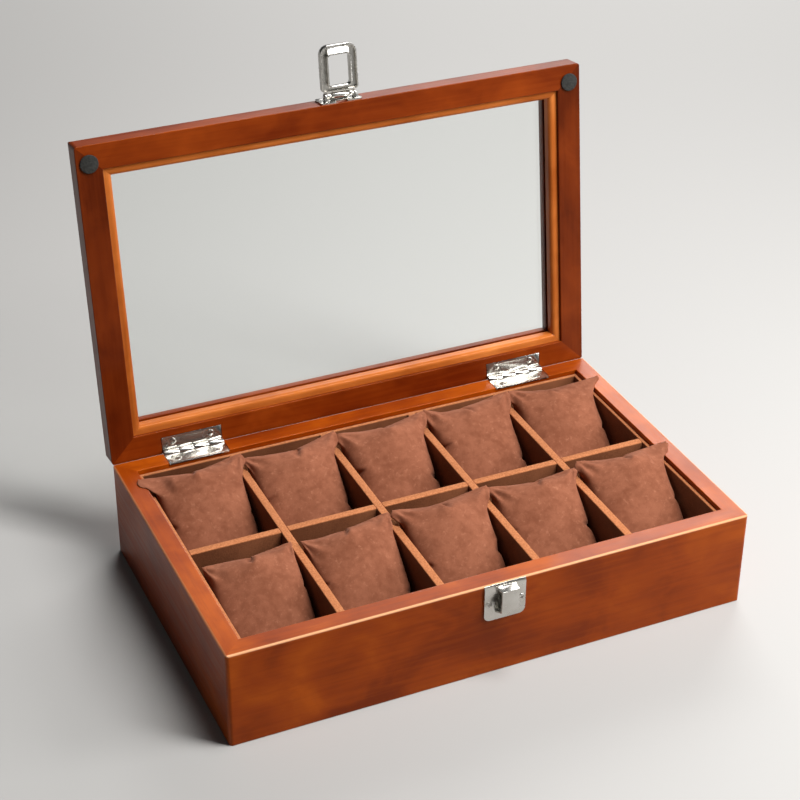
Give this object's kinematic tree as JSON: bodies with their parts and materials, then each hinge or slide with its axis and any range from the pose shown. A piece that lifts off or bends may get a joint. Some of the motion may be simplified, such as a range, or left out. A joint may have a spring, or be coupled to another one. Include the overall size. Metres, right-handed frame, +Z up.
{
  "type": "watch box",
  "caption": "Wooden watch box with a hinged glazed lid, velvet-lined compartments holding soft cushions, and a hasp that swings over a catch on the front.",
  "frame": {"origin": "middle of the base's footprint, on the surface that the box stands on", "axes": "+X to the right along the front, +Y from the front to the hinged back, +Z up"},
  "size_m": [0.34, 0.2638, 0.3077],
  "materials": {
    "lacquered_wood": "satin",
    "bead_wood": "satin",
    "panel_board": "matte",
    "velvet_lining": "velvet",
    "base_felt": "matte",
    "suede_cushion": "suede",
    "clear_glass": "clear",
    "bumper_rubber": "matte",
    "plated_metal": "polished"
  },
  "bodies": {
    "base": {"front_wall": "lacquered_wood", "back_wall": "lacquered_wood", "left_wall": "lacquered_wood", "right_wall": "lacquered_wood", "bottom_panel": "panel_board", "base_felt": "base_felt", "floor_board": "velvet_lining", "front_lining": "velvet_lining", "back_lining": "velvet_lining", "left_lining": "velvet_lining", "right_lining": "velvet_lining", "long_divider": "velvet_lining", "cross_divider_1": "velvet_lining", "cross_divider_2": "velvet_lining", "cross_divider_3": "velvet_lining", "cross_divider_4": "velvet_lining", "left_hinge_base_leaf": "plated_metal", "left_hinge_pin": "plated_metal", "right_hinge_base_leaf": "plated_metal", "right_hinge_pin": "plated_metal", "hinge_base_screws": "plated_metal", "catch_plate": "plated_metal", "catch_body": "plated_metal", "catch_spring": "plated_metal", "catch_screws": "plated_metal"},
    "lid": {"lid_front_rail": "lacquered_wood", "lid_back_rail": "lacquered_wood", "lid_left_rail": "lacquered_wood", "lid_right_rail": "lacquered_wood", "glazing_bead_front": "bead_wood", "glazing_bead_back": "bead_wood", "glazing_bead_left": "bead_wood", "glazing_bead_right": "bead_wood", "glass_pane": "clear_glass", "lid_bumpers": "bumper_rubber", "left_hinge_lid_leaf": "plated_metal", "right_hinge_lid_leaf": "plated_metal", "hinge_lid_screws": "plated_metal", "hasp_plate": "plated_metal", "hasp_screws": "plated_metal", "hasp_pin": "plated_metal"},
    "hasp_ring": {"hasp_ring": "plated_metal"},
    "front_cushion_1": {"front_cushion_1": "suede_cushion"},
    "front_cushion_2": {"front_cushion_2": "suede_cushion"},
    "front_cushion_3": {"front_cushion_3": "suede_cushion"},
    "front_cushion_4": {"front_cushion_4": "suede_cushion"},
    "front_cushion_5": {"front_cushion_5": "suede_cushion"},
    "back_cushion_1": {"back_cushion_1": "suede_cushion"},
    "back_cushion_2": {"back_cushion_2": "suede_cushion"},
    "back_cushion_3": {"back_cushion_3": "suede_cushion"},
    "back_cushion_4": {"back_cushion_4": "suede_cushion"},
    "back_cushion_5": {"back_cushion_5": "suede_cushion"}
  },
  "joints": [
    {"name": "lid_hinge", "type": "hinge", "parent": "base", "child": "lid", "pos_m": [0, 0.1045, 0.0646], "axis": [-1, 0, 0], "range_deg": [-97.5, 0]},
    {"name": "hasp_swing", "type": "hinge", "parent": "lid", "child": "hasp_ring", "pos_m": [0.0025, 0.13844, 0.27568], "axis": [-1, 0, 0], "range_deg": [-90, 80]},
    {"name": "front_cushion_1_lift", "type": "slide", "parent": "base", "child": "front_cushion_1", "axis": [0, 0, 1], "range_m": [0, 0.065]},
    {"name": "front_cushion_2_lift", "type": "slide", "parent": "base", "child": "front_cushion_2", "axis": [0, 0, 1], "range_m": [0, 0.065]},
    {"name": "front_cushion_3_lift", "type": "slide", "parent": "base", "child": "front_cushion_3", "axis": [0, 0, 1], "range_m": [0, 0.065]},
    {"name": "front_cushion_4_lift", "type": "slide", "parent": "base", "child": "front_cushion_4", "axis": [0, 0, 1], "range_m": [0, 0.065]},
    {"name": "front_cushion_5_lift", "type": "slide", "parent": "base", "child": "front_cushion_5", "axis": [0, 0, 1], "range_m": [0, 0.065]},
    {"name": "back_cushion_1_lift", "type": "slide", "parent": "base", "child": "back_cushion_1", "axis": [0, 0, 1], "range_m": [0, 0.065]},
    {"name": "back_cushion_2_lift", "type": "slide", "parent": "base", "child": "back_cushion_2", "axis": [0, 0, 1], "range_m": [0, 0.065]},
    {"name": "back_cushion_3_lift", "type": "slide", "parent": "base", "child": "back_cushion_3", "axis": [0, 0, 1], "range_m": [0, 0.065]},
    {"name": "back_cushion_4_lift", "type": "slide", "parent": "base", "child": "back_cushion_4", "axis": [0, 0, 1], "range_m": [0, 0.065]},
    {"name": "back_cushion_5_lift", "type": "slide", "parent": "base", "child": "back_cushion_5", "axis": [0, 0, 1], "range_m": [0, 0.065]}
  ]
}
